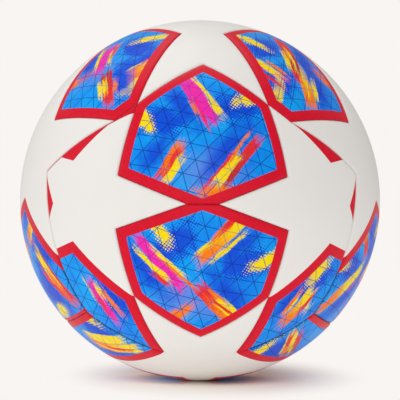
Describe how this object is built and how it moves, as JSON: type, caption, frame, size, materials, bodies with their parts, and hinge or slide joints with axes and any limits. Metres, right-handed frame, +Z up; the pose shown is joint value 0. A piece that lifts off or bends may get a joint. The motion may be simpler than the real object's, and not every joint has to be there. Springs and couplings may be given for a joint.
{
  "type": "soccer ball",
  "caption": "Inflated soccer ball: padded cover panels in a star and hexagon layout over foam, a cloth carcass and a rubber bladder with an inflation valve.",
  "frame": {"origin": "the ball's centre", "axes": "+Z up with the ball as it lies in the picture, -Y out of its front, where the two artwork hexagons meet, +X to the right of the front"},
  "size_m": [0.22, 0.22, 0.22],
  "materials": {
    "white_cover": "satin",
    "artwork_cover": "satin",
    "foam_backing": "matt",
    "carcass_cloth": "matt",
    "bladder_rubber": "matt",
    "valve_rubber": "satin"
  },
  "bodies": {
    "root": {"front_upper_hexagon_skin": "artwork_cover", "front_lower_hexagon_skin": "artwork_cover", "front_top_star_skin": "white_cover", "front_bottom_star_skin": "white_cover", "front_right_shoulder_skin": "artwork_cover", "front_right_star_skin": "white_cover", "front_right_side_skin": "white_cover", "front_left_shoulder_skin": "artwork_cover", "front_left_star_skin": "white_cover", "front_left_side_skin": "white_cover", "back_upper_hexagon_skin": "artwork_cover", "back_lower_hexagon_skin": "artwork_cover", "back_top_star_skin": "white_cover", "back_bottom_star_skin": "white_cover", "back_right_shoulder_skin": "artwork_cover", "back_right_star_skin": "white_cover", "back_right_side_skin": "white_cover", "back_left_shoulder_skin": "artwork_cover", "back_left_star_skin": "white_cover", "back_left_side_skin": "white_cover", "front_upper_hexagon_backing": "foam_backing", "front_lower_hexagon_backing": "foam_backing", "front_top_star_backing": "foam_backing", "front_bottom_star_backing": "foam_backing", "front_right_shoulder_backing": "foam_backing", "front_right_star_backing": "foam_backing", "front_right_side_backing": "foam_backing", "front_left_shoulder_backing": "foam_backing", "front_left_star_backing": "foam_backing", "front_left_side_backing": "foam_backing", "back_upper_hexagon_backing": "foam_backing", "back_lower_hexagon_backing": "foam_backing", "back_top_star_backing": "foam_backing", "back_bottom_star_backing": "foam_backing", "back_right_shoulder_backing": "foam_backing", "back_right_star_backing": "foam_backing", "back_right_side_backing": "foam_backing", "back_left_shoulder_backing": "foam_backing", "back_left_star_backing": "foam_backing", "back_left_side_backing": "foam_backing", "cloth_carcass": "carcass_cloth", "bladder": "bladder_rubber", "valve_housing": "valve_rubber", "valve_core": "valve_rubber", "balance_patch": "bladder_rubber"}
  },
  "joints": []
}
